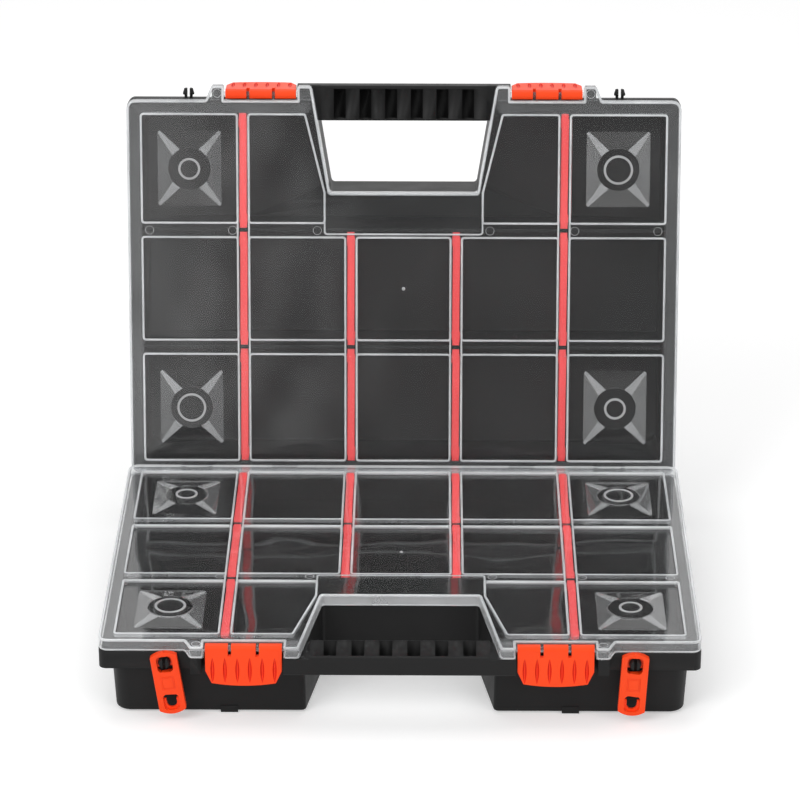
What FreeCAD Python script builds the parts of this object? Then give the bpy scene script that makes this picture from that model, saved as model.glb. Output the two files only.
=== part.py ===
import FreeCAD, Part
import math
import os

# Double-sided organizer case: two shallow trays with clear lids, joined at the back by two hinge links.
# Millimetres. +Z up, the handles face -Y, origin on the floor under the middle of the lower tray.
# Both halves are the same moulding. A place on a half is given as x, its depth from the back edge
# towards the handle, and its height above the tray's base.

# Whole half
width = 345.0
half_height = 50.5
lid_depth = 238.5
clearance = 0.4
overrun = 5.0

# Pose shown and the case hinge
lid_gap = 1.2
opening_angle = 101.5
pivot_below_lid = 12.8
pivot_from_back = 1.75
link_from_side = 97.5
link_width = 16.0
link_plate = 2.8
link_plate_behind = 0.6
link_eye_radius = 3.2
link_arm_height = 4.4
hinge_rod_radius = 1.5
rod_play = 0.15
snap_mouth_share = 0.8
cheek = 2.5

# Tray body
tray_wall = 2.2
floor_thickness = 2.0
side_inset = 8.5
back_inset = 6.4
front_inset = 5.9
draft = 2.2
body_corner_radius = 9.0
base_edge_radius = 4.0
rim_rise = 3.0
foot_from_side = 74.0
foot_width = 10.0
foot_height = 4.0
foot_relief = 0.8

# Tray flange
flange_height = 11.3
flange_wall = 2.0
flange_corner_radius = 4.5

# Partitions, dividers and their slots
row_count = 3
partition_thickness = 2.2
partition_top_gap = 0.5
divider_columns_shares = (-0.2907, -0.0957, 0.0957, 0.2907)
divider_web = 1.6
divider_top_width = 4.5
divider_top_height = 1.8
divider_pad = 5.3
divider_pad_height = 2.4
divider_pad_from_end = 3.4
divider_end_gap = 0.15
slot_rib = 1.5
slot_rib_depth = 1.8
slot_rib_drop = 6.0
slot_play = 0.2

# Handle bay and handle bar
bay_depth = 57.9
bay_back_half = 46.0
bay_front_half = 57.5
bay_corner_radius = 2.5
bar_depth = 22.0
bar_reach = 10.7
bar_pockets = 6
bar_pocket_width = 7.5
bar_pocket_pitch = 16.0
bar_pocket_wall = 2.2
bar_end_gap = 0.7

# Lid
skirt_height = 7.1
skirt_wall = 1.8
lid_plate = 1.6
lid_corner_radius = 6.0
joint_gap = 0.1
panel_side_border = 9.3
panel_back_border = 9.3
panel_front_border = 9.2
panel_recess = 2.0
panel_wall = 0.9
panel_corner_radius = 1.6
row_channel = 10.0
column_channel = 8.0
bay_border = 7.8
bay_back_border = 19.0

# Stacking pyramids and their rings
pyramid_width = 39.3
pyramid_length = 46.1
pyramid_top_share = 0.5
pyramid_from_side = 39.0
pyramid_from_front = 43.0
pyramid_from_back = 44.5
pyramid_disc = 26.6
ring_height = 0.4
ring_wall = 1.4
large_ring = 18.3
small_ring = 13.7

# Lid ears, latch rods and latches
ear_reach = 9.0
ear_wall = 1.4
latch_from_side = 83.5
latch_width = 43.8
latch_side_gap = 0.9
inner_ear_width = 8.7
outer_ear_base = 11.2
outer_ear_tip = 7.7
ear_block_inset = 1.4
rod_from_edge = 3.6
rod_below_lid = 3.6
latch_rod_radius = 1.6
latch_barrel_radius = 3.2
latch_drop = 24.8
latch_plate = 2.4
latch_flare = 1.6
latch_taper = 3.4
latch_taper_share = 0.36
latch_bottom_sag = 1.6
hook_reach = 1.9
hook_thickness = 2.6
hook_gap = 0.3
latch_rib = 1.3
latch_rib_spacing = 15.9
latch_slot_width = 1.9
latch_slot_depth = 5.2
groove_count = 6
groove_pitch = 7.1
groove_length = 15.6
groove_radius = 1.15
groove_center_share = 0.62

# Lid hinge at the back
lid_axis_behind = 2.8
lid_axis_below_lid = 4.6
lid_rod_radius = 1.2
lid_knuckle_radius = 2.4
lid_knuckle_width = 14.0
lid_knuckle_from_side = 42.5
lug_thickness = 2.5
lug_gap = 0.3
lug_drop = 4.0

# Split pegs, tabs and closing straps
peg_from_side = 38.0
peg_shank = 5.2
peg_head = 7.1
peg_slit = 1.7
peg_reach = 6.0
peg_grip = 2.2
peg_tip_share = 0.75
tab_width = 14.7
tab_height = 4.7
tab_wall = 1.6
strap_width = 15.6
strap_length = 39.4
strap_thickness = 3.4
strap_end_sag = 2.6
strap_hole_width = 8.9
strap_hole_length = 10.0
strap_hole_radius = 2.2
strap_ledge = 1.5
strap_play = 0.3
strap_nub = 1.4
strap_mark_width = 7.6
strap_mark_length = 8.0
strap_mark_wall = 0.8
strap_mark_relief = 0.3
strap_tilt_left = 8.0
strap_tilt_right = 3.0

# Heights and places that follow from the sizes above
flange_top = half_height - skirt_height
flange_bottom = flange_top - flange_height
rim_top = flange_top + rim_rise
partition_top = half_height - lid_plate - partition_top_gap
side_half = width / 2 - side_inset
body_front = lid_depth - front_inset
inner_back = back_inset + tray_wall
inner_front = body_front - tray_wall
row_length = (inner_front - inner_back - (row_count - 1) * partition_thickness) / row_count
row_pitch = row_length + partition_thickness
first_partition = inner_back + row_length + partition_thickness / 2
partition_depths = [first_partition + i * row_pitch for i in range(row_count - 1)]
columns = [share * width for share in divider_columns_shares]
pivot_height = half_height - pivot_below_lid
link_length = 2 * pivot_below_lid + lid_gap
peg_height = pivot_height
peg_x = width / 2 - peg_from_side
link_x = width / 2 - link_from_side
knuckle_x = width / 2 - lid_knuckle_from_side
foot_x = width / 2 - foot_from_side
latch_center = width / 2 - latch_from_side
rod_depth = lid_depth + rod_from_edge
rod_height = half_height - rod_below_lid
back_y = (back_inset + body_front) / 2
bay_back = lid_depth - bay_depth
bar_front = lid_depth + bar_reach
bar_half_length = latch_center - latch_width / 2 - bar_end_gap
bay_slope = (bay_front_half - bay_back_half) / (bar_front - bay_back)


def at(x, depth, height):
    return FreeCAD.Vector(x, back_y - depth, height)


def rounded_wire(points, radii, height):
    """A closed outline through (x, depth) points, each corner rounded by its own radius."""
    corners = [at(x, depth, height) for x, depth in points]
    entries = []
    for i, corner in enumerate(corners):
        before = (corners[i - 1] - corner).normalize()
        after = (corners[(i + 1) % len(corners)] - corner).normalize()
        half_turn = before.getAngle(after) / 2
        reach = radii[i] / math.tan(half_turn)
        middle = (before + after).normalize() * (radii[i] / math.sin(half_turn) - radii[i])
        entries.append((corner + before * reach, corner + middle, corner + after * reach))
    edges = []
    for i, (start, middle, end) in enumerate(entries):
        if radii[i] > 0:
            edges.append(Part.Arc(start, middle, end).toShape())
        following = entries[(i + 1) % len(entries)][0]
        edges.append(Part.LineSegment(end, following).toShape())
    return Part.Wire(edges)


def prism(points, radii, bottom, top):
    face = Part.Face(rounded_wire(points, radii, bottom))
    return face.extrude(FreeCAD.Vector(0, 0, top - bottom))


def plain(points):
    return [0] * len(points)


def block(x0, x1, depth0, depth1, bottom, top):
    points = [(x0, depth0), (x1, depth0), (x1, depth1), (x0, depth1)]
    return prism(points, plain(points), bottom, top)


def profile_along_x(points, x0, x1):
    """A (depth, height) outline swept from x0 to x1."""
    corners = [at(x0, depth, height) for depth, height in points]
    face = Part.Face(Part.makePolygon(corners + corners[:1]))
    return face.extrude(FreeCAD.Vector(x1 - x0, 0, 0))


def rod_along_x(depth, height, radius, x0, x1):
    return Part.makeCylinder(radius, x1 - x0, at(x0, depth, height), FreeCAD.Vector(1, 0, 0))


def rod_along_depth(x, height, radius, depth0, depth1):
    return Part.makeCylinder(radius, depth1 - depth0, at(x, depth0, height), FreeCAD.Vector(0, -1, 0))


def disc(x, depth, radius, bottom, top):
    return Part.makeCylinder(radius, top - bottom, at(x, depth, bottom))


def joined(shapes):
    return shapes[0].multiFuse(shapes[1:]).removeSplitter()


def mirrored(shape):
    """The same shape on the other side of the middle plane."""
    return shape.mirror(FreeCAD.Vector(0, 0, 0), FreeCAD.Vector(1, 0, 0))


def both_sides(shapes):
    return shapes + [mirrored(shape) for shape in shapes]


def bay_half(depth):
    return bay_back_half + bay_slope * (depth - bay_back)


def case_outline(side, back, front, bay_offset):
    """A rectangle with the handle bay let into its front. bay_offset moves the bay's walls into the tray."""
    inner = bay_half(bay_back - bay_offset) + bay_offset
    outer = bay_half(front) + bay_offset
    right = [(side, back), (side, front), (outer, front), (inner, bay_back - bay_offset)]
    return right + [(-x, depth) for x, depth in reversed(right)]


def case_radii(corner, bay_convex, bay_concave):
    right = [corner, corner, bay_convex, bay_concave]
    return right + right[::-1]


# Tray: floor and drafted walls, flange, partitions, divider slots, handle bar, pegs and hinge rods
def tray_shell():
    """One of the trays' drafted boxes with its inside open at the top, and the flange around it."""
    radii = case_radii(body_corner_radius, bay_corner_radius, bay_corner_radius)
    low = case_outline(side_half - draft, back_inset + draft, body_front - draft, 0)
    high = case_outline(side_half, back_inset, body_front, 0)
    body = Part.makeLoft([rounded_wire(low, radii, 0), rounded_wire(high, radii, flange_top)], True, True)
    base_edges = [edge for edge in body.Edges if edge.BoundBox.ZMax < base_edge_radius]
    body = body.makeFillet(base_edge_radius, base_edges)
    rim = prism(high, radii, flange_top, rim_top)
    rim_bay = case_outline(side_half, back_inset, lid_depth, skirt_wall + 2 * clearance)
    rim = rim.common(prism(rim_bay, plain(rim_bay), flange_top, rim_top))

    around = case_outline(width / 2, 0, lid_depth, 0)
    around_radii = case_radii(flange_corner_radius, bay_corner_radius, bay_corner_radius)
    flange = prism(around, around_radii, flange_bottom, flange_top)
    hollow = case_outline(width / 2 - flange_wall, flange_wall, lid_depth - flange_wall, flange_wall)
    hollow_radii = case_radii(flange_corner_radius - flange_wall, bay_corner_radius, bay_corner_radius)
    channel = prism(hollow, hollow_radii, flange_bottom - overrun, flange_top - flange_wall)
    flange = flange.cut(channel)

    inner_radii = case_radii(body_corner_radius - tray_wall, bay_corner_radius, bay_corner_radius)
    low_side = side_half - draft - tray_wall
    inner_low = case_outline(low_side, inner_back + draft, inner_front - draft, tray_wall)
    inner_high = case_outline(side_half - tray_wall, inner_back, inner_front, tray_wall)
    floor_wire = rounded_wire(inner_low, inner_radii, floor_thickness)
    inside = Part.makeLoft([floor_wire, rounded_wire(inner_high, inner_radii, flange_top)], True, True)
    mouth = prism(inner_high, inner_radii, flange_top, rim_top + overrun)
    return joined([body, rim, flange]).cut(joined([inside, mouth]))


def divider_places():
    """Column x and the depth at which each divider starts, row by row from the back."""
    places = []
    for row in range(row_count):
        start = inner_back + row * row_pitch
        for x in columns:
            if row < row_count - 1 or abs(x) > bay_half(bar_front):
                places.append((x, start))
    return places


def partitions():
    walls = []
    for depth in partition_depths:
        reach = side_half - tray_wall / 2
        near = depth - partition_thickness / 2
        far = depth + partition_thickness / 2
        points = [(-reach, flange_top), (reach, flange_top), (reach - draft, floor_thickness / 2)]
        points.append((draft - reach, floor_thickness / 2))
        corners = [at(x, near, height) for x, height in points]
        lower = Part.Face(Part.makePolygon(corners + corners[:1])).extrude(FreeCAD.Vector(0, near - far, 0))
        walls.append(lower)
        inside = side_half - tray_wall - panel_recess - clearance
        walls.append(block(-inside, inside, near, far, flange_top, partition_top))
    return walls


def wall_lean(height):
    """How far the drafted walls stand inside their top edge at a height."""
    return draft * (1 - height / flange_top)


def divider_slots():
    """Pairs of ribs that hold both ends of every divider."""
    ribs = []
    low = floor_thickness / 2
    top = flange_top - slot_rib_drop
    for x, start in divider_places():
        end = start + row_length
        at_back = start == inner_back
        at_front = end > inner_front - partition_thickness
        root = tray_wall / 2
        near_low, near_top = start - root + wall_lean(low) * at_back, start - root + wall_lean(top) * at_back
        far_low, far_top = end + root - wall_lean(low) * at_front, end + root - wall_lean(top) * at_front
        reach = root + slot_rib_depth
        near_rib = [(near_low, low), (near_low + reach, low), (near_top + reach, top), (near_top, top)]
        far_rib = [(far_low, low), (far_low - reach, low), (far_top - reach, top), (far_top, top)]
        gap = divider_web / 2 + slot_play
        for left in (x - gap - slot_rib, x + gap):
            ribs.append(profile_along_x(near_rib, left, left + slot_rib))
            ribs.append(profile_along_x(far_rib, left, left + slot_rib))
    return ribs


def handle_bar():
    bar = block(-bar_half_length, bar_half_length, bar_front - bar_depth, bar_front,
                flange_bottom + clearance, flange_top - clearance)
    edges = [edge for edge in bar.Edges if edge.BoundBox.XLength > width / 4]
    bar = bar.makeFillet(flange_wall / 2, edges)
    first = -bar_pocket_pitch * (bar_pockets - 1) / 2
    for i in range(bar_pockets):
        x = first + i * bar_pocket_pitch
        bar = bar.cut(block(x - bar_pocket_width / 2, x + bar_pocket_width / 2,
                            bar_front - bar_depth + bar_pocket_wall / 2, bar_front - bar_pocket_wall,
                            flange_bottom + clearance + bar_pocket_wall, flange_top))
    return bar


def ear_blocks():
    """Black blocks of the flange under the outer lid ears."""
    inner = latch_center + latch_width / 2 + latch_side_gap + ear_block_inset
    outer = inner + outer_ear_tip - ear_block_inset
    return [block(inner, outer, lid_depth - flange_wall, lid_depth + ear_reach - ear_block_inset,
                  flange_bottom + clearance, flange_top)]


def split_peg():
    """A barbed peg in two halves on the front flange."""
    x = peg_x
    start = lid_depth - flange_wall / 2
    shank_end = lid_depth + peg_grip
    tip = lid_depth + peg_reach
    barb = shank_end + (peg_head - peg_shank) / 2
    shank = rod_along_depth(x, peg_height, peg_shank / 2, start, tip)
    collar = rod_along_depth(x, peg_height, peg_head / 2, shank_end, barb)
    cone = Part.makeCone(peg_head / 2, peg_head * peg_tip_share / 2, tip - barb, at(x, barb, peg_height),
                         FreeCAD.Vector(0, -1, 0))
    peg = joined([shank, collar, cone])
    slit = block(x - peg_slit / 2, x + peg_slit / 2, lid_depth, tip + overrun,
                 peg_height - peg_head, peg_height + peg_head)
    return peg.cut(slit)


def locating_tab():
    """The arch above each peg that guides the lid's front skirt."""
    x = peg_x
    front = lid_depth - skirt_wall - clearance
    tab = block(x - tab_width / 2, x + tab_width / 2, front - tab_wall, front, flange_top - flange_wall / 2,
                flange_top + tab_height)
    corners = []
    for edge in tab.Edges:
        if edge.BoundBox.YLength > tab_wall / 2 and edge.BoundBox.ZMin > flange_top:
            corners.append(edge)
    return tab.makeFillet(tab_height - flange_wall, corners)


def front_foot():
    x = foot_x
    return block(x - foot_width / 2, x + foot_width / 2, body_front - draft - tray_wall / 2,
                 body_front - draft + foot_relief, 0, foot_height)


def case_hinge_cheeks():
    """Ribs under the back flange and the rod that a hinge link snaps on."""
    middle = link_x
    inner = link_width / 2 + clearance
    cheeks = []
    for side in (-1, 1):
        near = middle + side * inner
        far = middle + side * (inner + cheek)
        cheeks.append(block(near, far, 0, back_inset + tray_wall / 2, flange_bottom,
                            flange_top - flange_wall / 2))
    rod = rod_along_x(pivot_from_back, pivot_height, hinge_rod_radius, middle - inner - cheek / 2,
                      middle + inner + cheek / 2)
    return cheeks + [rod]


def case_hinge_window():
    middle = link_x
    reach = link_width / 2 + clearance
    return block(middle - reach, middle + reach, -overrun, flange_wall + clearance, flange_bottom - overrun,
                 flange_top - flange_wall)


def lid_hinge_lugs():
    """Two lugs on the back flange with the rod for the lid's knuckle between them."""
    middle = knuckle_x
    height = half_height - lid_axis_below_lid
    inner = lid_knuckle_width / 2 + lug_gap
    behind = -lid_axis_behind - lid_knuckle_radius
    face = -clearance
    crown = math.sqrt(lid_knuckle_radius ** 2 - (lid_axis_behind - clearance) ** 2)
    foot = flange_top - lug_drop
    root = flange_wall / 2
    lugs = []
    for x0 in (middle - inner - lug_thickness, middle + inner):
        arc = Part.Arc(at(x0, face, height + crown), at(x0, -lid_axis_behind, height + lid_knuckle_radius),
                       at(x0, behind, height))
        outline = [(behind, height), (behind, foot), (0, foot - lid_knuckle_radius),
                   (root, foot - lid_knuckle_radius), (root, flange_top - root), (face, flange_top - root),
                   (face, height + crown)]
        sides = Part.makePolygon([at(x0, depth, z) for depth, z in outline])
        lug = Part.Face(Part.Wire([arc.toShape()] + sides.Edges))
        lugs.append(lug.extrude(FreeCAD.Vector(lug_thickness, 0, 0)))
    rod = rod_along_x(-lid_axis_behind, height, lid_rod_radius, middle - inner - lug_thickness / 2,
                      middle + inner + lug_thickness / 2)
    return lugs + [rod]


def make_tray():
    shell = tray_shell()
    added = partitions() + divider_slots() + [handle_bar()]
    window = case_hinge_window()
    shell = shell.cut(joined([window, mirrored(window)]))
    paired = ear_blocks() + [split_peg(), locating_tab(), front_foot()]
    paired += case_hinge_cheeks() + lid_hinge_lugs()
    return joined([shell] + added + both_sides(paired))


# Divider: a thin plate with a wide top strip and a square pad near each end
def make_divider(x, start):
    near = start + divider_end_gap
    far = start + row_length - divider_end_gap
    bottom = floor_thickness + divider_end_gap
    strip_bottom = partition_top - divider_top_height
    first = start == inner_back
    last = start + row_length > inner_front - partition_thickness
    lean_near = draft * first
    lean_far = draft * last
    web_points = [(near + lean_near, bottom), (far - lean_far, bottom), (far, flange_top),
                  (far, strip_bottom), (near, strip_bottom), (near, flange_top)]
    web = profile_along_x(web_points, x - divider_web / 2, x + divider_web / 2)
    strip = block(x - divider_top_width / 2, x + divider_top_width / 2, near, far, strip_bottom,
                  partition_top)
    pads = []
    for end in (near + divider_pad_from_end, far - divider_pad_from_end - divider_pad):
        pads.append(block(x - divider_pad / 2, x + divider_pad / 2, end, end + divider_pad,
                          partition_top - divider_pad_height, partition_top))
    return joined([web, strip] + pads)


# Lid: skirted clear plate with recessed panels, stacking pyramids, ears, latch rods and back knuckles
def panel_outlines():
    """The recessed panels between the channels, each a list of points with its corner radii."""
    side = width / 2 - panel_side_border
    column_edges = [-side]
    for x in columns:
        column_edges += [x - column_channel / 2, x + column_channel / 2]
    column_edges.append(side)
    row_edges = [panel_back_border]
    for depth in partition_depths:
        row_edges += [depth - row_channel / 2, depth + row_channel / 2]
    row_edges.append(lid_depth - panel_front_border)
    panels = []
    last_column = len(columns)
    for row in range(row_count):
        near, far = row_edges[2 * row], row_edges[2 * row + 1]
        for column in range(last_column + 1):
            left, right = column_edges[2 * column], column_edges[2 * column + 1]
            if row < row_count - 1 or column in (0, last_column):
                panels.append([(left, near), (right, near), (right, far), (left, far)])
            elif column == last_column - 1:
                left = bay_half(bay_back) + bay_border / 2
                slanted = [(left, near), (right, near), (right, far), (bay_half(far) + bay_border, far),
                           (left, bay_back)]
                panels.append(slanted)
                panels.append([(-x, depth) for x, depth in reversed(slanted)])
    return panels


def grown(points, amount):
    """The outline moved outward by an amount, away from its middle."""
    middle_x = sum(x for x, depth in points) / len(points)
    middle_depth = sum(depth for x, depth in points) / len(points)
    return [(x + math.copysign(amount, x - middle_x), depth + math.copysign(amount, depth - middle_depth))
            for x, depth in points]


def lid_outline():
    """The lid's edge with its bay and ears, and the radius of each corner."""
    front = lid_depth
    tip = lid_depth + ear_reach
    outer = latch_center + latch_width / 2 + latch_side_gap
    inner = latch_center - latch_width / 2 - latch_side_gap
    right = [
        (width / 2, 0),
        (width / 2, front),
        (outer + outer_ear_base, front),
        (outer + outer_ear_tip, tip),
        (outer, tip),
        (outer, front),
        (inner, front),
        (inner, tip),
        (bay_half(tip), tip),
        (bay_back_half, bay_back),
    ]
    radii = [lid_corner_radius, lid_corner_radius, bay_corner_radius, bay_corner_radius, panel_corner_radius,
             0, 0, panel_corner_radius, bay_corner_radius, bay_corner_radius]
    points = right + [(-x, depth) for x, depth in reversed(right)]
    return points, radii + radii[::-1]


def ear_pockets():
    """The hollows under both ears of one side, open below."""
    near = lid_depth
    far = lid_depth + ear_reach - ear_wall
    outer = latch_center + latch_width / 2 + latch_side_gap
    inner = latch_center - latch_width / 2 - latch_side_gap
    outer_ear = [(outer + ear_wall, near), (outer + outer_ear_base - 2 * ear_wall, near),
                 (outer + outer_ear_tip - ear_wall, far), (outer + ear_wall, far)]
    inner_ear = [(bay_half(near) + ear_wall, near), (inner - ear_wall, near),
                 (inner - ear_wall, far), (bay_half(far) + ear_wall, far)]
    top = half_height - lid_plate
    return [prism(ear, plain(ear), flange_top - overrun, top) for ear in (outer_ear, inner_ear)]


def pyramids():
    """Raised corner pyramids with a round flat top, the hollows under them and their rings.

    Opposite corners carry the same ring."""
    bottom = half_height - panel_recess - lid_plate / 2
    solids = []
    hollows = []
    rings = []
    front_depth = lid_depth - panel_front_border - pyramid_from_front / 2
    back_depth = panel_back_border + pyramid_from_back / 2 + clearance
    for side in (-1, 1):
        for depth, is_front in ((front_depth, True), (back_depth, False)):
            x = side * (width / 2 - panel_side_border - pyramid_from_side / 2)
            wires = []
            for share, height in ((1, bottom), (pyramid_top_share, half_height)):
                half_x = share * pyramid_width / 2
                half_depth = share * pyramid_length / 2
                ring = [(x - half_x, depth - half_depth), (x + half_x, depth - half_depth),
                        (x + half_x, depth + half_depth), (x - half_x, depth + half_depth)]
                wires.append(rounded_wire(ring, plain(ring), height))
            table = disc(x, depth, pyramid_disc / 2, bottom, half_height)
            body = joined([Part.makeLoft(wires, True, True), table])
            solids.append(body)
            hollow = body.copy()
            hollow.translate(FreeCAD.Vector(0, 0, -lid_plate))
            hollows.append(hollow)
            diameter = large_ring if (side < 0) == is_front else small_ring
            ring = disc(x, depth, diameter / 2, half_height - lid_plate / 2, half_height + ring_height)
            hole = disc(x, depth, diameter / 2 - ring_wall, half_height, half_height + overrun)
            rings.append(ring.cut(hole))
    return solids, hollows, rings


def latch_rod_and_ribs():
    inner = latch_center - latch_width / 2 - latch_side_gap
    outer = latch_center + latch_width / 2 + latch_side_gap
    overlap = skirt_wall / 2
    parts = [rod_along_x(rod_depth, rod_height, latch_rod_radius, inner - overlap, outer + overlap)]
    for side in (-1, 1):
        x = latch_center + side * latch_rib_spacing / 2
        parts.append(block(x - latch_rib / 2, x + latch_rib / 2, lid_depth - overlap, rod_depth,
                           rod_height - latch_rod_radius, rod_height + latch_rod_radius))
    return parts


def lid_knuckle():
    """A hook on the back skirt that snaps over the tray's rod."""
    middle = knuckle_x
    height = half_height - lid_axis_below_lid
    x0 = middle - lid_knuckle_width / 2
    x1 = middle + lid_knuckle_width / 2
    barrel = rod_along_x(-lid_axis_behind, height, lid_knuckle_radius, x0, x1)
    neck = block(x0, x1, -lid_axis_behind, skirt_wall / 2, height, height + lid_knuckle_radius)
    bore = rod_along_x(-lid_axis_behind, height, lid_rod_radius + rod_play, x0 - overrun, x1 + overrun)
    mouth_half = (lid_rod_radius + rod_play) * snap_mouth_share
    mouth = block(x0 - overrun, x1 + overrun, -lid_axis_behind - mouth_half, -lid_axis_behind + mouth_half,
                  height - overrun, height)
    return barrel.fuse(neck).cut(bore.fuse(mouth))


def make_lid():
    points, radii = lid_outline()
    bottom = flange_top + joint_gap
    plate_bottom = half_height - lid_plate
    solid = prism(points, radii, bottom, half_height)
    hollow = case_outline(width / 2 - skirt_wall, skirt_wall, lid_depth - skirt_wall, skirt_wall)
    hollow_radii = case_radii(lid_corner_radius - skirt_wall, bay_corner_radius, bay_corner_radius)
    solid = solid.cut(prism(hollow, hollow_radii, bottom - overrun, plate_bottom))
    floors = []
    recesses = []
    for panel in panel_outlines():
        corner = [panel_corner_radius] * len(panel)
        floors.append(prism(grown(panel, panel_wall), corner, plate_bottom - panel_recess,
                            plate_bottom + lid_plate / 2))
        recesses.append(prism(panel, corner, half_height - panel_recess, half_height + overrun))
    solid = joined([solid] + floors).cut(Part.makeCompound(recesses))
    raised, hollows, rings = pyramids()
    solid = joined([solid] + raised).cut(Part.makeCompound(hollows + both_sides(ear_pockets())))
    return joined([solid] + rings + both_sides(latch_rod_and_ribs() + [lid_knuckle()]))


# Latch: swings on the lid's rod and hooks under the tray's flange
def latch_face_outline():
    """Front view of a latch: straight sides, a taper near the bottom and a bowed lower edge."""
    left = latch_center - latch_width / 2
    right = latch_center + latch_width / 2
    top = half_height
    low = half_height - latch_drop
    knee = low + latch_drop * latch_taper_share
    corner = low + latch_bottom_sag
    depth = lid_depth - flange_wall - overrun
    points = [(left, top), (right, top), (right, knee), (right - latch_taper, corner)]
    vectors = [at(x, depth, height) for x, height in points]
    lowest = at(latch_center, depth, low)
    last = at(left + latch_taper, depth, corner)
    knee_left = at(left, depth, knee)
    edges = [Part.LineSegment(a, b).toShape() for a, b in zip(vectors, vectors[1:])]
    edges.append(Part.Arc(vectors[-1], lowest, last).toShape())
    edges.append(Part.LineSegment(last, knee_left).toShape())
    edges.append(Part.LineSegment(knee_left, vectors[0]).toShape())
    face = Part.Face(Part.Wire(edges))
    return face.extrude(FreeCAD.Vector(0, -bar_front, 0))


def latch_grooves(front, flare_slope):
    """Spindle shaped cuts that leave the grip's upright grooves."""
    grooves = []
    middle = half_height - latch_drop * groove_center_share
    first = latch_center - groove_pitch * (groove_count - 1) / 2
    for i in range(groove_count):
        x = first + i * groove_pitch
        low = at(x, front, middle - groove_length / 2)
        high = at(x, front, middle + groove_length / 2)
        bulge = at(x + groove_radius, front, middle)
        outline = Part.Wire([Part.Arc(low, bulge, high).toShape(), Part.LineSegment(high, low).toShape()])
        spindle = Part.Face(outline).revolve(at(x, front, middle), FreeCAD.Vector(0, 0, 1), 360)
        spindle.rotate(at(x, front, rod_height), FreeCAD.Vector(1, 0, 0), -flare_slope)
        grooves.append(spindle)
    return grooves


def make_latch():
    left = latch_center - latch_width / 2
    right = latch_center + latch_width / 2
    low = half_height - latch_drop
    front = rod_depth + latch_barrel_radius
    hook_top = flange_bottom - hook_gap
    inner = front - latch_plate
    offset = inner - rod_depth
    drop = math.sqrt(latch_barrel_radius ** 2 - offset ** 2)
    diagonal = latch_barrel_radius / math.sqrt(2)
    barrel = Part.Arc(at(left, inner, rod_height - drop),
                      at(left, rod_depth - diagonal, rod_height + diagonal),
                      at(left, front, rod_height))
    side_view = [
        (front, rod_height),
        (front + latch_flare, low),
        (inner + latch_flare, low),
        (inner + latch_flare, hook_top - hook_thickness),
        (lid_depth - hook_reach, hook_top - hook_thickness),
        (lid_depth - hook_reach, hook_top),
        (inner, hook_top),
        (inner, rod_height - drop),
    ]
    sides = Part.makePolygon([at(left, depth, height) for depth, height in side_view])
    section = Part.Face(Part.Wire([barrel.toShape()] + sides.Edges))
    body = section.extrude(FreeCAD.Vector(right - left, 0, 0)).common(latch_face_outline())
    bore = rod_along_x(rod_depth, rod_height, latch_rod_radius + rod_play, left - overrun, right + overrun)
    mouth_half = (latch_rod_radius + rod_play) * snap_mouth_share
    mouth = block(left - overrun, right + overrun, lid_depth, rod_depth, rod_height - mouth_half,
                  rod_height + mouth_half)
    cuts = [bore, mouth]
    for side in (-1, 1):
        x = latch_center + side * latch_rib_spacing / 2
        cuts.append(block(x - latch_slot_width / 2, x + latch_slot_width / 2, lid_depth, front + overrun,
                          half_height - latch_slot_depth - latch_rod_radius, half_height + overrun))
    flare_slope = math.degrees(math.atan(latch_flare / (rod_height - low)))
    return body.cut(Part.makeCompound(cuts)).cut(Part.makeCompound(latch_grooves(front, flare_slope)))


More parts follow.
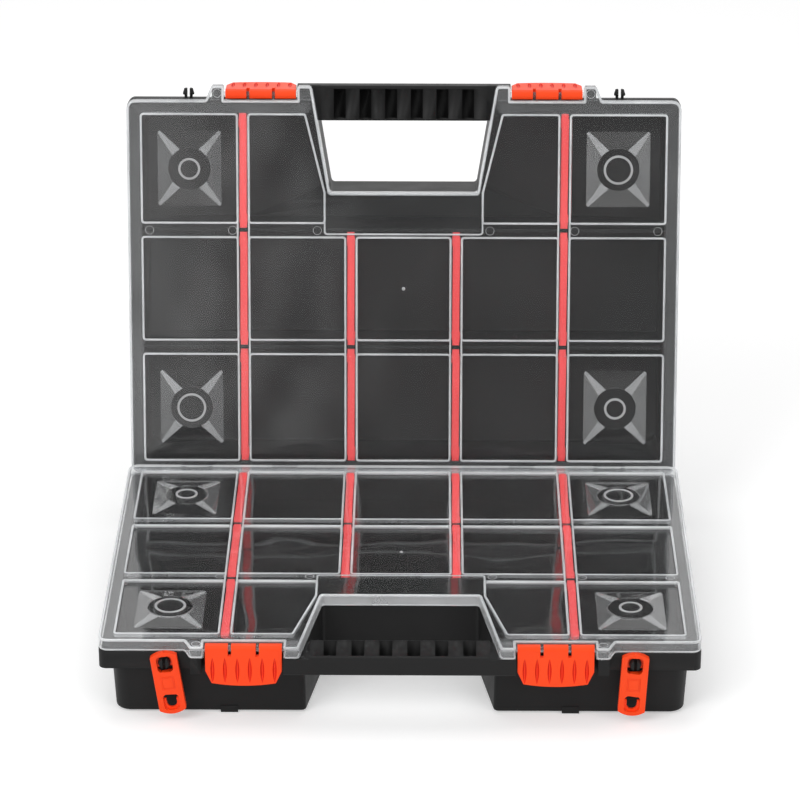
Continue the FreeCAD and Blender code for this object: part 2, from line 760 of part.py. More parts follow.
# Closing strap: two keyholes that button over the split pegs of both halves
def make_strap(side):
    x = side * peg_x
    near = lid_depth + strap_play
    far = near + strap_thickness
    middle = peg_height - link_length / 2
    half_length = strap_length / 2
    straight = half_length - strap_end_sag
    points = [(-strap_width / 2, -straight), (strap_width / 2, -straight), (strap_width / 2, straight),
              (-strap_width / 2, straight)]
    corners = [at(x + px, near, middle + pz) for px, pz in points]
    top = at(x, near, middle + half_length)
    bottom = at(x, near, middle - half_length)
    outline = Part.Wire([
        Part.Arc(corners[0], bottom, corners[1]).toShape(),
        Part.LineSegment(corners[1], corners[2]).toShape(),
        Part.Arc(corners[2], top, corners[3]).toShape(),
        Part.LineSegment(corners[3], corners[0]).toShape(),
    ])
    body = Part.Face(outline).extrude(FreeCAD.Vector(0, -strap_thickness, 0))
    nub = rod_along_depth(x, middle + half_length, strap_nub / 2, near + strap_ledge, far)
    body = body.fuse(nub)
    seat_radius = peg_shank / 2 + strap_play
    for end in (-1, 1):
        seat = middle + end * link_length / 2
        outer = seat + end * (peg_head / 2 + strap_play)
        inner = outer - end * strap_hole_length
        low, high = min(inner, outer), max(inner, outer)
        hole = block(x - strap_hole_width / 2, x + strap_hole_width / 2, near - overrun, far + overrun,
                     low, high)
        upright = [edge for edge in hole.Edges if edge.BoundBox.YLength > strap_thickness]
        hole = hole.makeFillet(strap_hole_radius, upright)
        ledge = block(x - strap_hole_width / 2, x + strap_hole_width / 2, near, near + strap_ledge,
                      min(seat - end * seat_radius, outer), max(seat - end * seat_radius, outer))
        slot = rod_along_depth(x, seat, seat_radius, near - overrun, far)
        throat = block(x - seat_radius, x + seat_radius, near - overrun, far, min(seat, inner),
                       max(seat, inner))
        body = body.cut(hole.cut(ledge)).cut(slot.fuse(throat))
    frame = block(x - strap_mark_width / 2, x + strap_mark_width / 2, far - strap_mark_relief, far + overrun,
                  middle - strap_mark_length / 2, middle + strap_mark_length / 2)
    island = block(x - strap_mark_width / 2 + strap_mark_wall, x + strap_mark_width / 2 - strap_mark_wall,
                   far - strap_mark_relief, far, middle - strap_mark_length / 2 + strap_mark_wall,
                   middle + strap_mark_length / 2 - strap_mark_wall)
    body = body.cut(frame.cut(island)).removeSplitter()
    tilt = strap_tilt_left if side < 0 else -strap_tilt_right
    body.rotate(at(x, near, peg_height), FreeCAD.Vector(0, -1, 0), tilt)
    return body


# Hinge link: lies level behind the lower half and carries the upper half
def make_link(side):
    middle = side * link_x
    x0 = middle - link_width / 2
    x1 = middle + link_width / 2
    plate_near = pivot_from_back + link_plate_behind
    plate_far = plate_near + link_plate
    start = pivot_from_back
    end = start - link_length
    plate_top = pivot_height - plate_near
    plate_bottom = pivot_height - plate_far
    plate = [(start, plate_top), (end, plate_top), (end, plate_bottom), (start, plate_bottom)]
    pieces = [profile_along_x(plate, x0, x1)]
    cuts = []
    for depth in (start, end):
        pieces.append(rod_along_x(depth, pivot_height, link_eye_radius, x0, x1))
        pieces.append(block(x0, x1, depth - link_arm_height / 2, depth + link_arm_height / 2,
                            plate_bottom, pivot_height))
        cuts.append(rod_along_x(depth, pivot_height, hinge_rod_radius + rod_play, x0 - overrun, x1 + overrun))
        mouth_half = (hinge_rod_radius + rod_play) * snap_mouth_share
        cuts.append(block(x0 - overrun, x1 + overrun, depth - mouth_half, depth + mouth_half, pivot_height,
                          pivot_height + overrun))
    return joined(pieces).cut(Part.makeCompound(cuts))


def to_upper(shape):
    """Turns a lower piece into its twin on the upper half, at the opening angle."""
    twin = shape.copy()
    pivot = at(0, pivot_from_back, pivot_height)
    twin.rotate(pivot, FreeCAD.Vector(0, 1, 0), 180)
    twin.rotate(pivot, FreeCAD.Vector(1, 0, 0), -opening_angle)
    twin.translate(FreeCAD.Vector(0, link_length, 0))
    return twin


os.makedirs("parts", exist_ok=True)
half = {"tray": make_tray(), "lid": make_lid()}
half["latch_right"] = make_latch()
half["latch_left"] = mirrored(half["latch_right"])
for number, (x, start) in enumerate(divider_places(), 1):
    half[f"divider_{number:02d}"] = make_divider(x, start)
nodes = {}
for name, shape in half.items():
    nodes["lower_" + name] = shape
    nodes["upper_" + name] = to_upper(shape)
nodes["strap_left"] = make_strap(-1)
nodes["strap_right"] = make_strap(1)
nodes["hinge_link_left"] = make_link(-1)
nodes["hinge_link_right"] = make_link(1)
for name, shape in nodes.items():
    shape.exportStep(f"parts/{name}.step")
    print(name, shape.isValid(), len(shape.Solids), round(shape.Volume))
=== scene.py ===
import bmesh
import bpy
import math
from mathutils import Matrix, Vector


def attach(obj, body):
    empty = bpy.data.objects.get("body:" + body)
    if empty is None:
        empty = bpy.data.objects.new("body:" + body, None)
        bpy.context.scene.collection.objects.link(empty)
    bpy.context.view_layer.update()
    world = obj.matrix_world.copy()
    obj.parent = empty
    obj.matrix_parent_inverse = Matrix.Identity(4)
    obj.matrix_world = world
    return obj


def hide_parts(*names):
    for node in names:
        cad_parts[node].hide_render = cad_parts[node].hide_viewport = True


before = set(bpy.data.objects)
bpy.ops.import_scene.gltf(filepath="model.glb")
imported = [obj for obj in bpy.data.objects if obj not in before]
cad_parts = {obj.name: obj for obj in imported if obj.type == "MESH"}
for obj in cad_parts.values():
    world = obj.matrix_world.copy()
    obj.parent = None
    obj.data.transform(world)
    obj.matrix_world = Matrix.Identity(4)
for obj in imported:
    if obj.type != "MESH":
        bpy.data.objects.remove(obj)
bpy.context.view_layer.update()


# Trays: two equal black polypropylene mouldings with partitions, flange, handle bar, pegs and hinge rods.
# Copies of the frame's solids with a raised grip, the bar set back, the side walls further out and a
# tighter base edge. An eroded mould leaves a fine grain, and handling polishes it in patches.
def new_material(name):
    material = bpy.data.materials.new(name)
    material.use_nodes = True
    tree = material.node_tree
    return material, tree, tree.nodes["Principled BSDF"]


def feed(tree, socket, source):
    """Links a socket to another node's, or sets it to a plain value."""
    if isinstance(source, bpy.types.NodeSocket):
        tree.links.new(source, socket)
    else:
        socket.default_value = source


def ranged(tree, source, low, high):
    """Spreads the middle part of a noise value over a range."""
    spread = tree.nodes.new("ShaderNodeMapRange")
    spread.inputs["From Min"].default_value = 0.3
    spread.inputs["From Max"].default_value = 0.7
    feed(tree, spread.inputs["To Min"], low)
    feed(tree, spread.inputs["To Max"], high)
    tree.links.new(source, spread.inputs["Value"])
    return spread.outputs["Result"]


def noise(tree, place, scale, detail=2.0):
    texture = tree.nodes.new("ShaderNodeTexNoise")
    texture.inputs["Detail"].default_value = detail
    feed(tree, texture.inputs["Scale"], scale)
    tree.links.new(place, texture.inputs["Vector"])
    return texture.outputs["Fac"]


def blended(tree, factor, first, second):
    """A colour between two. The first can come from another node."""
    mix = tree.nodes.new("ShaderNodeMix")
    mix.data_type = "RGBA"
    tree.links.new(factor, mix.inputs["Factor"])
    feed(tree, mix.inputs["A"], (*first, 1.0) if isinstance(first, tuple) else first)
    mix.inputs["B"].default_value = (*second, 1.0)
    return mix.outputs["Result"]


moulded_grain = bpy.data.node_groups.new("moulded_grain", "ShaderNodeTree")
for label in ("Grain Scale", "Smoothest", "Roughest"):
    moulded_grain.interface.new_socket(label, in_out="INPUT", socket_type="NodeSocketFloat")
for label in ("Height", "Roughness", "Cloud"):
    moulded_grain.interface.new_socket(label, in_out="OUTPUT", socket_type="NodeSocketFloat")
given = moulded_grain.nodes.new("NodeGroupInput")
made = moulded_grain.nodes.new("NodeGroupOutput")
place = moulded_grain.nodes.new("ShaderNodeTexCoord").outputs["Object"]
grain = noise(moulded_grain, place, given.outputs["Grain Scale"])
rubbed = noise(moulded_grain, place, scale=55.0, detail=5.0)
dull = ranged(moulded_grain, rubbed, given.outputs["Smoothest"], given.outputs["Roughest"])
cloud = noise(moulded_grain, place, scale=17.0, detail=4.0)
for label, source in (("Height", grain), ("Roughness", dull), ("Cloud", cloud)):
    moulded_grain.links.new(source, made.inputs[label])


def moulded_plastic(name, dark, pale, painted_groove_shade, grain_scale, gloss, bump, mirror):
    """An opaque moulded plastic: clouded colour, painted shade in grooves, grain in the gloss and in the
    normal.
    """
    material, tree, shader = new_material(name)
    shader.inputs["Specular IOR Level"].default_value = mirror
    finish = tree.nodes.new("ShaderNodeGroup")
    finish.node_tree = moulded_grain
    finish.inputs["Grain Scale"].default_value = grain_scale
    finish.inputs["Smoothest"].default_value = gloss[0]
    finish.inputs["Roughest"].default_value = gloss[1]
    clouded = blended(tree, ranged(tree, finish.outputs["Cloud"], 0.0, 1.0), dark, pale)
    # Faces in the groove mask get a darker colour as painted shade; only the latches carry the mask.
    groove_shade_mask = tree.nodes.new("ShaderNodeAttribute")
    groove_shade_mask.attribute_name = "groove_shade_mask"
    tree.links.new(blended(tree, groove_shade_mask.outputs["Fac"], clouded, painted_groove_shade), shader.inputs["Base Color"])
    tree.links.new(finish.outputs["Roughness"], shader.inputs["Roughness"])
    relief = tree.nodes.new("ShaderNodeBump")
    relief.inputs["Strength"].default_value = bump
    relief.inputs["Distance"].default_value = 0.0003
    tree.links.new(finish.outputs["Height"], relief.inputs["Height"])
    tree.links.new(relief.outputs["Normal"], shader.inputs["Normal"])
    return material


def loose_copy(node, name, whole_faces=True):
    """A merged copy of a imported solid. With whole_faces its flat areas are single faces again."""
    bpy.ops.object.select_all(action="DESELECT")
    piece = bpy.data.objects.new(name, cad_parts[node].data.copy())
    piece.data.name = name
    piece.data.materials.clear()
    bpy.context.scene.collection.objects.link(piece)
    bpy.context.view_layer.objects.active = piece
    piece.select_set(True)
    bpy.ops.object.mode_set(mode="EDIT")
    bpy.ops.mesh.select_all(action="SELECT")
    bpy.ops.mesh.remove_doubles(threshold=1e-6)
    if whole_faces:
        bpy.ops.mesh.dissolve_limited(angle_limit=math.radians(0.3))
    bpy.ops.object.mode_set(mode="OBJECT")
    return piece


def shade_flat_faces_flat(piece, sharpest=36):
    bpy.ops.object.shade_smooth_by_angle(angle=math.radians(sharpest))
    even = piece.modifiers.new("flat_faces", "WEIGHTED_NORMAL")
    even.keep_sharp = True
    bpy.ops.object.modifier_apply(modifier=even.name)


tray_black = moulded_plastic(
    "tray_black", dark=(0.0080, 0.0080, 0.0082), pale=(0.0115, 0.0115, 0.0117), painted_groove_shade=(0.006, 0.006, 0.006),
    grain_scale=1500.0, gloss=(0.46, 0.55), bump=0.18, mirror=0.2,
)

# Where the halves are: each in its own upright place, the upper one turned about its hinge axle.
half_height = 0.0505
back_y = 0.1195
axle_y = 0.11775
axle_height = 0.0377
upper_axle_y = 0.14455
opening_angle = 101.5
to_upper = (
    Matrix.Translation((0, upper_axle_y, axle_height))
    @ Matrix.Rotation(math.radians(-opening_angle), 4, "X")
    @ Matrix.Rotation(math.pi, 4, "Y")
    @ Matrix.Translation((0, -axle_y, -axle_height))
)
to_half = {"lower": Matrix.Identity(4), "upper": to_upper}

# Handle bar: where it is, and how far the bar moves back and the grip rises.
margin = 0.0004
bar_limit_y = back_y - 0.2272 + margin
bar_top = half_height - 0.0075
bar_height = 0.0120
bar_half = 0.067
bar_straight_half = 0.058
bar_front_depth = 0.2476
bar_shift = 0.0020
grip_half = 0.0517
grip_round = 0.0012
grip_rise = 0.0013

# Side walls: moved out between these depths, more and more from still_half on. Base edge: pressed flatter.
wall_depths = (0.005, 0.234)
wall_half = 0.1665
still_half = 0.140
stretch = 0.010
side_shift = 0.0024
base_radius = 0.0041
base_squash = 0.5
for half in ("lower", "upper"):
    tray = loose_copy(f"{half}_tray", f"{half}_tray_moulding", whole_faces=False)
    tray.data.transform(to_half[half].inverted())
    shape = bmesh.new()
    shape.from_mesh(tray.data)
    for side in (-1, 1):
        for x in (grip_half - margin, grip_half + margin):
            faces = [face for face in shape.faces if max(spot.co.y for spot in face.verts) < bar_limit_y]
            edges = {edge for face in faces for edge in face.edges}
            spots = {spot for face in faces for spot in face.verts}
            bmesh.ops.bisect_plane(
                shape, geom=faces + list(edges) + list(spots), dist=1e-6,
                plane_co=(side * x, 0, 0), plane_no=(1, 0, 0),
            )
    shape.normal_update()
    for spot in shape.verts:
        across = abs(spot.co.x)
        depth = back_y - spot.co.y
        in_bar = spot.co.y < bar_limit_y and spot.co.z > bar_top - bar_height
        if spot.normal.z < 0.01 and spot.co.z < base_radius:
            spot.co.z *= base_squash
        if wall_depths[0] < depth < wall_depths[1] and across < wall_half:
            share = min(max((across - still_half) / stretch, 0), 1)
            spot.co.x += math.copysign(side_shift * share, spot.co.x)
        if in_bar and across < grip_half and spot.co.z > bar_top - grip_round:
            spot.co.z += grip_rise
        if in_bar and across < bar_half and (across < bar_straight_half or depth > bar_front_depth):
            spot.co.y += bar_shift
    shape.to_mesh(tray.data)
    shape.free()
    tray.data.transform(to_half[half])
    shade_flat_faces_flat(tray)
    tray.data.materials.append(tray_black)
    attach(tray, f"{half}_tray")
    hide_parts(f"{half}_tray")


# Hinge links: two black clips that snap on the rods of both trays and let the halves fold lid to lid.
# Same plastic as the trays, with the wider radii of a small springy moulding.
def ease_edges(piece, radius, shortest):
    """Rounds the sharp edges that are at least so long, as a mould does."""
    piece.data.attributes.new("bevel_weight_edge", "FLOAT", "EDGE")
    shape = bmesh.new()
    shape.from_mesh(piece.data)
    weight = shape.edges.layers.float["bevel_weight_edge"]
    for edge in shape.edges:
        if len(edge.link_faces) == 2 and edge.calc_length() > shortest:
            edge[weight] = 1.0 if edge.calc_face_angle() > math.radians(40) else 0.0
    shape.to_mesh(piece.data)
    shape.free()
    bevel = piece.modifiers.new("eased_edges", "BEVEL")
    bevel.width = radius
    bevel.segments = 2
    bevel.limit_method = "WEIGHT"
    bevel.use_clamp_overlap = False
    bevel.miter_outer = "MITER_ARC"
    bpy.ops.object.modifier_apply(modifier=bevel.name)
    shade_flat_faces_flat(piece)


for side in ("left", "right"):
    link = loose_copy(f"hinge_link_{side}", f"hinge_link_{side}_clip")
    ease_edges(link, radius=0.0003, shortest=0.002)
    link.data.materials.append(tray_black)
    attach(link, "hinge_links")
    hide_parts(f"hinge_link_{side}")


# Dividers: thin red plates that drop into the trays' ribs, with a wide top strip and two square pads.
# Their plastic is softer and a little see-through, so the colour is clouded and the gloss is low.
divider_red = moulded_plastic(
    "divider_red", dark=(0.86, 0.062, 0.067), pale=(0.97, 0.098, 0.102), painted_groove_shade=(0.5, 0.02, 0.02),
    grain_scale=1100.0, gloss=(0.34, 0.5), bump=0.08, mirror=0.3,
)
for half in ("lower", "upper"):
    for number in range(1, 11):
        divider = loose_copy(f"{half}_divider_{number:02d}", f"{half}_divider_{number:02d}_plate")
        ease_edges(divider, radius=0.00025, shortest=0.001)
        divider.data.materials.append(divider_red)
        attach(divider, f"{half}_tray")
        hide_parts(f"{half}_divider_{number:02d}")


# Lids: clear polypropylene, one moulding each, snapped on the tray's back rods. Panels are recessed
# between channels, and the four corner panels, remade here, carry pyramids with stacking rings. Panels
# stay clear; the border, skirt and rings are moulded matt and look milky. The steep walls look milky
# partly from haze and partly from painted light for light piped along them; the pyramid facets get
# painted light, more the more they face sideways.
def frustum(rings):
    """A closed solid through outlines of (x, y, z) points with equal counts."""
    shape = bmesh.new()
    loops = [[shape.verts.new(spot) for spot in ring] for ring in rings]
    shape.faces.new(loops[0][::-1])
    shape.faces.new(loops[-1])
    for below, above in zip(loops, loops[1:]):
        for i in range(len(below)):
            j = (i + 1) % len(below)
            shape.faces.new((below[i], below[j], above[j], above[i]))
    mesh = bpy.data.meshes.new("solid")
    shape.to_mesh(mesh)
    shape.free()
    solid = bpy.data.objects.new("solid", mesh)
    bpy.context.scene.collection.objects.link(solid)
    return solid


def drum(spot, radius, low, high):
    turns = [2 * math.pi * i / 64 for i in range(64)]
    circle = [(spot.x + radius * math.cos(turn), spot.y + radius * math.sin(turn)) for turn in turns]
    return frustum([[(x, y, height) for x, y in circle] for height in (low, high)])


def cut_corners(spot, half_x, half_y, chamfer, height):
    """A rectangle's outline with its corners cut off."""
    quarter = [(half_x, half_y - chamfer), (half_x - chamfer, half_y)]
    half = quarter + [(-x, y) for x, y in reversed(quarter)]
    whole = half + [(-x, -y) for x, y in half]
    return [(spot.x + x, spot.y + y, height) for x, y in whole]


def combine(piece, other, operation):
    """Joins or cuts two closed solids and drops the second."""
    bpy.context.view_layer.objects.active = piece
    merge = piece.modifiers.new("combined", "BOOLEAN")
    merge.operation = operation
    merge.solver = "EXACT"
    merge.object = other
    bpy.ops.object.modifier_apply(modifier=merge.name)
    bpy.data.objects.remove(other)


lid_plate = 0.0016
panel_floor = half_height - 0.0020
corner_x = 0.13375
corner_half_x = 0.0287
corner_chamfer = 0.001
corner_rows = ((0.195565, 0.0329, 1), (0.043235, 0.0331, -1))
cut_heights = (0.04, 0.06)
pyramid_foot = (0.02376, 0.02844, 0.0001)
pyramid_top = (0.0099, 0.01185, 0.0042)
pyramid_table = 0.0133
ring_radius = {1: 0.00685, -1: 0.00915}
ring_width = 0.0014
ring_rise = 0.0004


def pyramid(spot, drop):
    """The raised middle of a corner panel, so much lower."""
    foot = panel_floor - lid_plate / 2 - drop
    top = half_height - drop
    solid = frustum([cut_corners(spot, *pyramid_foot, foot), cut_corners(spot, *pyramid_top, top)])
    combine(solid, drum(spot, pyramid_table, foot, top), "UNION")
    return solid


def calculated(tree, operation, first, second):
    sum_node = tree.nodes.new("ShaderNodeMath")
    sum_node.operation = operation
    feed(tree, sum_node.inputs[0], first)
    feed(tree, sum_node.inputs[1], second)
    return sum_node.outputs["Value"]


def milk_and_highlight_film(name, alpha, dark, pale, cloud_scale, grain_scale, gloss):
    """Clear plastic drawn milky: part see-through, clouded and unevenly glossy. On the lid rims its pale
    colour is a painted highlight.
    """
    material, tree, shader = new_material(name)
    shader.inputs["Alpha"].default_value = alpha
    place = tree.nodes.new("ShaderNodeTexCoord").outputs["Object"]
    cloud = ranged(tree, noise(tree, place, cloud_scale, detail=4.0), 0.0, 1.0)
    tree.links.new(blended(tree, cloud, dark, pale), shader.inputs["Base Color"])
    dull = ranged(tree, noise(tree, place, grain_scale, detail=3.0), *gloss)
    tree.links.new(dull, shader.inputs["Roughness"])
    return material


clear_lid, tree, clear = new_material("clear_lid")
clear.inputs["Base Color"].default_value = (0.96, 0.97, 0.975, 1.0)
clear.inputs["IOR"].default_value = 1.49
clear.inputs["Specular IOR Level"].default_value = 0.42
clear.inputs["Transmission Weight"].default_value = 1.0
place = tree.nodes.new("ShaderNodeTexCoord").outputs["Object"]
smear = noise(tree, place, scale=42.0, detail=4.0)
tree.links.new(ranged(tree, smear, 0.02, 0.035), clear.inputs["Roughness"])
ripple = tree.nodes.new("ShaderNodeBump")
ripple.inputs["Strength"].default_value = 0.3
ripple.inputs["Distance"].default_value = 0.003
tree.links.new(noise(tree, place, scale=16.0, detail=1.0), ripple.inputs["Height"])
tree.links.new(ripple.outputs["Normal"], clear.inputs["Normal"])
milky_and_painted_light = tree.nodes.new("ShaderNodeBsdfPrincipled")
milky_and_painted_light.inputs["Base Color"].default_value = (0.80, 0.81, 0.82, 1.0)
frost = noise(tree, place, scale=300.0, detail=3.0)
tree.links.new(ranged(tree, frost, 0.3, 0.45), milky_and_painted_light.inputs["Roughness"])
# This attribute mixes in the milky shader: real haze, and painted light on steep walls and pyramid facets.
haze_and_painted_light = tree.nodes.new("ShaderNodeAttribute")
haze_and_painted_light.attribute_name = "haze_and_painted_light"
patchy = ranged(tree, noise(tree, place, scale=24.0, detail=5.0), 0.8, 1.2)
body = tree.nodes.new("ShaderNodeMixShader")
tree.links.new(calculated(tree, "MULTIPLY", haze_and_painted_light.outputs["Fac"], patchy), body.inputs["Fac"])
tree.links.new(clear.outputs["BSDF"], body.inputs[1])
tree.links.new(milky_and_painted_light.outputs["BSDF"], body.inputs[2])
let_light = tree.nodes.new("ShaderNodeBsdfTransparent")
let_light.inputs["Color"].default_value = (0.9, 0.91, 0.92, 1.0)
shaded = tree.nodes.new("ShaderNodeMixShader")
ray = tree.nodes.new("ShaderNodeLightPath")
tree.links.new(ray.outputs["Is Shadow Ray"], shaded.inputs["Fac"])
tree.links.new(body.outputs["Shader"], shaded.inputs[1])
tree.links.new(let_light.outputs["BSDF"], shaded.inputs[2])
tree.links.new(shaded.outputs["Shader"], tree.nodes["Material Output"].inputs["Surface"])

lid_skirt = milk_and_highlight_film(
    "lid_skirt", alpha=0.2, dark=(0.50, 0.51, 0.52), pale=(0.62, 0.63, 0.64),
    cloud_scale=30.0, grain_scale=120.0, gloss=(0.2, 0.36),
)

# Milkiness of a lid's faces, with painted light on steep walls and pyramid facets, and where the panels' area
# ends and the border begins.
ring_haze = 0.45
panel_haze = 0.008
border_haze = 0.045
wedge_haze = 0.2
# Painted light: pyramid facets get milkier the more they face sideways, for their light and dark look.
facet_painted_light = 0.25
# Steep walls: real haze plus painted light for light piped along the walls.
wall_haze_and_painted_light = 0.3
skirt_haze = 0.15
border_x = 0.1645
border_depths = (0.0082, 0.2305)
for half in ("lower", "upper"):
    lid = loose_copy(f"{half}_lid", f"{half}_lid_clear", whole_faces=False)
    lid.data.transform(to_half[half].inverted())
    for side in (-1, 1):
        for depth, half_y, turn in corner_rows:
            spot = Vector((side * corner_x, back_y - depth, 0))
            corner = (corner_half_x, half_y, corner_chamfer)
            window = [cut_corners(spot, *corner, height) for height in (panel_floor - lid_plate, panel_floor)]
            opening = [cut_corners(spot, *corner, height) for height in cut_heights]
            combine(lid, frustum(opening), "DIFFERENCE")
            panel = frustum(window)
            combine(panel, pyramid(spot, 0), "UNION")
            combine(panel, pyramid(spot, lid_plate), "DIFFERENCE")
            radius = ring_radius[side * turn]
            ring = drum(spot, radius, half_height - lid_plate / 2, half_height + ring_rise)
            combine(ring, drum(spot, radius - ring_width, half_height, half_height + 0.001), "DIFFERENCE")
            combine(panel, ring, "UNION")
            combine(lid, panel, "UNION")
    lid.data.transform(to_half[half])
    bpy.ops.object.select_all(action="DESELECT")
    lid.select_set(True)
    bpy.context.view_layer.objects.active = lid
    shade_flat_faces_flat(lid, sharpest=5)
    lid.data.materials.append(clear_lid)
    lid.data.materials.append(lid_skirt)
    from_half = to_half[half].inverted()
    milk_and_painted_light = lid.data.attributes.new("haze_and_painted_light", "FLOAT", "FACE")
    for face in lid.data.polygons:
        spot = from_half @ face.center
        turned = from_half.to_3x3() @ face.normal
        depth = back_y - spot.y
        inside = abs(spot.x) < border_x and border_depths[0] < depth < border_depths[1]
        flat = abs(turned.z)
        if spot.z > half_height + 0.0001:
            amount = ring_haze
        elif flat > 0.9985:
            amount = panel_haze if inside else border_haze
        elif flat > 0.9 and inside:
            in_wedge = min(abs(turned.x), abs(turned.y)) > 0.03
            # Facets that face sideways get more milk: painted light.
            amount = wedge_haze if in_wedge else panel_haze + facet_painted_light * abs(turned.x)
        else:
            # Steep walls inside the border: haze plus painted light piped along them.
            amount = wall_haze_and_painted_light if inside else skirt_haze
            face.material_index = 0 if inside else 1
        milk_and_painted_light.data[face.index].value = amount
    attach(lid, f"{half}_lid")
    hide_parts(f"{half}_lid")


# Lid edges: the rounded rims of the recessed panels and of the lid's outer edge, part of the clear moulding.
# Their milky white colour is a painted highlight for the light the clear rims catch. With them come the gate
# mark in the middle and faint ejector rings.
def round_corners(corners):
    """Points along a closed outline of (x, depth, radius) corners."""
    points = []
    for i, (x, depth, radius) in enumerate(corners):
        corner = Vector((x, depth))
        before = (Vector(corners[i - 1][:2]) - corner).normalized()
        after = (Vector(corners[(i + 1) % len(corners)][:2]) - corner).normalized()
        reach = radius / math.tan(before.angle(after) / 2)
        start = corner + before * reach
        end = corner + after * reach
        for step in range(6):
            share = step / 5
            points.append(start.lerp(corner, share).lerp(corner.lerp(end, share), share))
    return points


def add_rim(curve, points, height, thickness, closed):
    """A round bead along (x, depth) points."""
    line = curve.splines.new("POLY")
    line.points.add(len(points) - 1)
    for spot, (x, depth) in zip(line.points, points):
        spot.co = (x, back_y - depth, height, 1.0)
        spot.radius = thickness
    line.use_cyclic_u = closed


rim_grow = 0.00045
rim_height = 0.0497
rim_corner = 0.0018
columns = (-0.1632, -0.1043, -0.0963, -0.0370, -0.0290, 0.0290, 0.0370, 0.0963, 0.1043, 0.1632)
rows = (0.0093, 0.07717, 0.08717, 0.15183, 0.16183, 0.2293)
bay_x = 0.0494
bay_slant = ((0.0615, rows[5] + rim_grow), (bay_x, 0.1806))
rim_curve = bpy.data.curves.new("lower_lid_rims", "CURVE")
rim_curve.dimensions = "3D"
rim_curve.bevel_depth = 1.0
rim_curve.bevel_resolution = 2
for row in range(3):
    near = rows[2 * row] - rim_grow
    far = rows[2 * row + 1] + rim_grow
    for column in range(5):
        left = columns[2 * column] - rim_grow
        right = columns[2 * column + 1] + rim_grow
        if row < 2 or column in (0, 4):
            panel = [(left, near), (right, near), (right, far), (left, far)]
        elif column == 2:
            continue
        else:
            side = 1 if column == 3 else -1
            outer = columns[7] + rim_grow
            beside_bay = ((bay_x, near), (outer, near), (outer, far), *bay_slant)
            panel = [(side * x, depth) for x, depth in beside_bay]
        corners = [(x, depth, rim_corner) for x, depth in panel]
        add_rim(rim_curve, round_corners(corners), rim_height, thickness=0.0007, closed=True)
edge = [(0.1717, 0.0008, 0.0052), (0.1717, 0.2377, 0.0052), (0.1228, 0.2377, 0.002), (0.1190, 0.2467, 0.0018)]
edge += [(0.1126, 0.2467, 0.001), (0.1126, 0.2377, 0.0004), (0.0654, 0.2377, 0.0004), (0.0654, 0.2467, 0.001)]
edge += [(0.0580, 0.2467, 0.0018), (0.0466, 0.1798, 0.0022)]
edge += [(-x, depth, radius) for x, depth, radius in reversed(edge)]
add_rim(rim_curve, round_corners(edge), rim_height, thickness=0.0008, closed=True)
skirt_edge = [(x * 1.002, depth + (0.0003 if depth > 0.01 else -0.0003), radius) for x, depth, radius in edge]
add_rim(rim_curve, round_corners(skirt_edge), height=0.0440, thickness=0.0004, closed=True)

# Short rims across the channels between rows, and round the plate behind the handle bay.
bridges = []
for number, x in enumerate(columns[1:-1]):
    x += rim_grow if number % 2 == 0 else -rim_grow
    bridges.append([(x, rows[1]), (x, rows[2])])
    if abs(x) > 0.09:
        bridges.append([(x, rows[3]), (x, rows[4])])
plate_side = [(bay_x, 0.1618), (bay_x, 0.1556), (0.0488, 0.1548), (0.0478, 0.1544)]
bridges.append(plate_side + [(-x, depth) for x, depth in reversed(plate_side)])
for bridge in bridges:
    add_rim(rim_curve, bridge, height=0.0498, thickness=0.0006, closed=False)
rim_curve.use_fill_caps = True
bpy.ops.object.select_all(action="DESELECT")
rims = bpy.data.objects.new("lower_lid_rims", rim_curve)
bpy.context.scene.collection.objects.link(rims)
bpy.context.view_layer.objects.active = rims
rims.select_set(True)
bpy.ops.object.convert(target="MESH")
rims = bpy.context.object

# Gate mark and ejector rings, at (x, depth) on both sides.
ejectors = ((0.116, 0.243), (0.159, 0.15683), (0.107, 0.15683), (0.054, 0.15683))
bpy.ops.mesh.primitive_cone_add(
    vertices=16, radius1=0.0011, radius2=0.0004, depth=0.0007, location=(0, 0, 0.0488),
)
marks = [bpy.context.object]
for x, depth in ejectors:
    for side in (-1, 1):
        bpy.ops.mesh.primitive_torus_add(
            major_radius=0.0026, minor_radius=0.00013, major_segments=28, minor_segments=6,
            location=(side * x, back_y - depth, half_height),
        )
        marks.append(bpy.context.object)
for mark in marks:
    mark.select_set(True)
rims.select_set(True)
bpy.context.view_layer.objects.active = rims
bpy.ops.object.join()
bpy.ops.object.transform_apply(location=True, rotation=True, scale=True)
bpy.ops.object.shade_smooth()
rims.data.materials.clear()
# Milky white colour on the rims, gate mark and ejector rings: a painted highlight.
lid_rim_highlight = milk_and_highlight_film(
    "lid_rim_highlight", alpha=0.62, dark=(0.62, 0.63, 0.64), pale=(0.90, 0.91, 0.92),
    cloud_scale=26.0, grain_scale=90.0, gloss=(0.22, 0.4),
)
rims.data.materials.append(lid_rim_highlight)
upper_rims = bpy.data.objects.new("upper_lid_rims", rims.data.copy())
bpy.context.scene.collection.objects.link(upper_rims)
upper_rims.data.transform(to_upper)
for half, piece in (("lower", rims), ("upper", upper_rims)):
    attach(piece, f"{half}_lid")


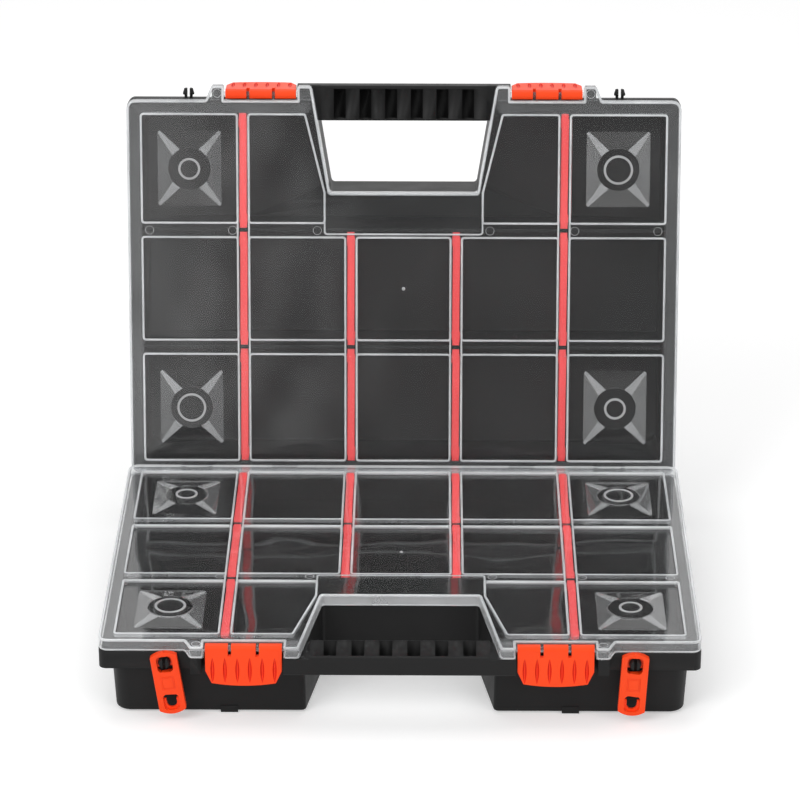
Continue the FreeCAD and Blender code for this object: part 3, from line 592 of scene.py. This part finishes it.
# Latches: four orange-red clips that turn on the lids' rods and hook under the trays' flanges.
# The grip has six upright grooves, darkened with painted shade; the plastic is bright and satin.
latch_orange = moulded_plastic(
    "latch_orange", dark=(0.98, 0.056, 0.006), pale=(1.0, 0.074, 0.009), painted_groove_shade=(0.76, 0.014, 0.003),
    grain_scale=1300.0, gloss=(0.32, 0.46), bump=0.08, mirror=0.25,
)
latch_x = 0.089
latch_half = 0.0205
groove_top = half_height - 0.0065
for half in ("lower", "upper"):
    for side in ("left", "right"):
        latch = loose_copy(f"{half}_latch_{side}", f"{half}_latch_{side}_clip")
        ease_edges(latch, radius=0.00025, shortest=0.0025)
        from_half = to_half[half].inverted()
        # Painted shade: the grip's slanted groove faces are marked for a darker red.
        groove_shade_mask = latch.data.attributes.new("groove_shade_mask", "FLOAT", "FACE")
        for face in latch.data.polygons:
            spot = from_half @ face.center
            turned = from_half.to_3x3() @ face.normal
            in_grip = abs(abs(spot.x) - latch_x) < latch_half and spot.z < groove_top
            slanted = turned.y < -0.2 and abs(turned.x) > 0.2
            groove_shade_mask.data[face.index].value = 1.0 if in_grip and slanted else 0.0
        latch.data.materials.append(latch_orange)
        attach(latch, f"{half}_latch_{side}")
        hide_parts(f"{half}_latch_{side}")


# Closing straps: two flat orange-red bars with keyholes, buttoned over the split pegs of the lower tray.
# Same plastic as the latches.
for side in ("left", "right"):
    strap = loose_copy(f"strap_{side}", f"strap_{side}_bar")
    ease_edges(strap, radius=0.0003, shortest=0.0022)
    strap.data.materials.append(latch_orange)
    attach(strap, f"strap_{side}")
    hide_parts(f"strap_{side}")


# Studio: a white sweep under soft lamps, brighter from the left, and the photo's long lens.
# The floor keeps the case's shadow and shows white to the camera and in reflections.
def shown(tree, ray):
    """1 for rays from the camera, mirrored or refracted ones too, and 0 for the rest."""
    mirrored = calculated(tree, "MAXIMUM", ray.outputs["Is Camera Ray"], ray.outputs["Is Glossy Ray"])
    return calculated(tree, "MAXIMUM", mirrored, ray.outputs["Is Transmission Ray"])


def smooth_step(tree, source, start, end, top):
    step = tree.nodes.new("ShaderNodeMapRange")
    step.interpolation_type = "SMOOTHSTEP"
    step.inputs["From Min"].default_value = start
    step.inputs["From Max"].default_value = end
    step.inputs["To Max"].default_value = top
    tree.links.new(source, step.inputs["Value"])
    return step.outputs["Result"]


bpy.ops.object.select_all(action="DESELECT")
bpy.ops.mesh.primitive_plane_add(size=1.0, location=(0, 2.1, -0.0004))
floor = bpy.context.object
floor.scale = (7.0, 6.0, 1.0)
bpy.ops.object.transform_apply(location=True, rotation=True, scale=True)
floor.name = "studio_floor"
floor_white, tree, unused_shader = new_material("floor_white")
tree.nodes.remove(unused_shader)
paper = tree.nodes.new("ShaderNodeBsdfDiffuse")
paper.inputs["Color"].default_value = (0.82, 0.82, 0.82, 1.0)
glow = tree.nodes.new("ShaderNodeEmission")
ray = tree.nodes.new("ShaderNodeLightPath")
tree.links.new(calculated(tree, "MULTIPLY", shown(tree, ray), 0.34), glow.inputs["Strength"])
both = tree.nodes.new("ShaderNodeAddShader")
tree.links.new(paper.outputs["BSDF"], both.inputs[0])
tree.links.new(glow.outputs["Emission"], both.inputs[1])
tree.links.new(both.outputs["Shader"], tree.nodes["Material Output"].inputs["Surface"])
floor.data.materials.append(floor_white)

# World: white where shown, dimmer as a lamp, and darker in reflections in front, right of the key lamp.
world = bpy.data.worlds.new("studio_world")
bpy.context.scene.world = world
world.use_nodes = True
tree = world.node_tree
background = tree.nodes["Background"]
background.inputs["Color"].default_value = (1.0, 1.0, 1.0, 1.0)
ray = tree.nodes.new("ShaderNodeLightPath")
level = tree.nodes.new("ShaderNodeMapRange")
level.inputs["To Min"].default_value = 0.55
level.inputs["To Max"].default_value = 1.0
tree.links.new(shown(tree, ray), level.inputs["Value"])
toward = tree.nodes.new("ShaderNodeSeparateXYZ")
tree.links.new(tree.nodes.new("ShaderNodeTexCoord").outputs["Generated"], toward.inputs["Vector"])
in_front = smooth_step(tree, toward.outputs["Y"], start=-0.9, end=-0.98, top=1.0)
right_of_key = smooth_step(tree, toward.outputs["X"], start=-0.10, end=0.0, top=0.72)
dim = calculated(tree, "MULTIPLY", in_front, right_of_key)
mirrored_dim = calculated(tree, "MULTIPLY", dim, ray.outputs["Is Glossy Ray"])
strength = calculated(tree, "SUBTRACT", level.outputs["Result"], mirrored_dim)
tree.links.new(strength, background.inputs["Strength"])

lamps = (
    ("key_lamp", (-1.2, -1.4, 1.4), 1.2, 19.0),
    ("fill_lamp", (1.3, -1.4, 0.9), 1.2, 8.0),
    ("top_lamp", (0.0, 0.5, 1.9), 1.4, 9.0),
)
for name, spot, size, power in lamps:
    bpy.ops.object.light_add(type="AREA", location=spot)
    lamp = bpy.context.object
    lamp.name = name
    lamp.data.size = size
    lamp.data.energy = power
    aim = Vector((0, 0.05, 0.12)) - Vector(spot)
    lamp.rotation_euler = aim.to_track_quat("-Z", "Y").to_euler()

camera_drop = 23.7553
camera_turn = 0.4894
bpy.ops.object.camera_add(location=(0.01587, -1.95899, 1.01045))
camera = bpy.context.object
camera.name = "photo_camera"
camera.rotation_euler = (math.radians(90 - camera_drop), 0, math.radians(camera_turn))
camera.data.lens = 163.41
camera.data.sensor_width = 36.0
camera.data.clip_end = 50.0
bpy.context.scene.camera = camera
bpy.context.scene.view_settings.view_transform = "Standard"
